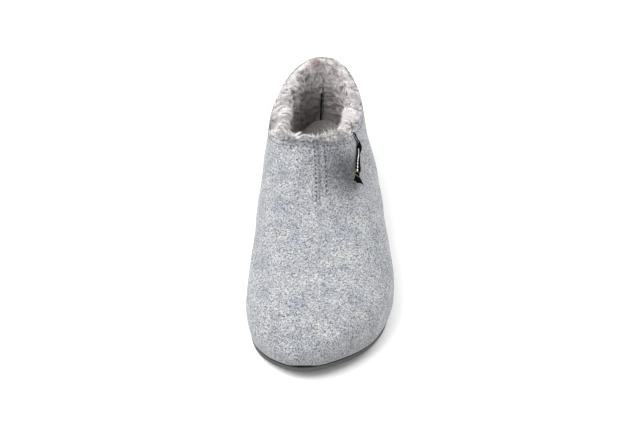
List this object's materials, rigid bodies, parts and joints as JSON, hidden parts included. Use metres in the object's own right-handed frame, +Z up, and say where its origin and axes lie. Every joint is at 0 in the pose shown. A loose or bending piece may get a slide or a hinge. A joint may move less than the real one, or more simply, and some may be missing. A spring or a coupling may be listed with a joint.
{
  "type": "house slipper",
  "caption": "Closed felt house slipper with a fur lining rolled over the collar, a thin rubber outsole with toe spring, a footbed and a ribbon loop on the outer side.",
  "frame": {"origin": "centre of the bounding box in plan, on the floor the slipper stands on", "axes": "+Y runs from the toe to the heel, +X points to the outer side of a left foot, +Z is up from the floor"},
  "size_m": [0.1058, 0.275, 0.0911],
  "materials": {
    "outsole": "matte dark grey rubber",
    "upper": "grey melange wool felt",
    "lining": "off-white long-pile fur",
    "insole": "warm grey short pile",
    "ribbon_tag": "black woven ribbon"
  },
  "bodies": {
    "root": {"outsole": "outsole", "upper": "upper", "lining": "lining", "insole": "insole", "ribbon_tag": "ribbon_tag"}
  },
  "joints": []
}
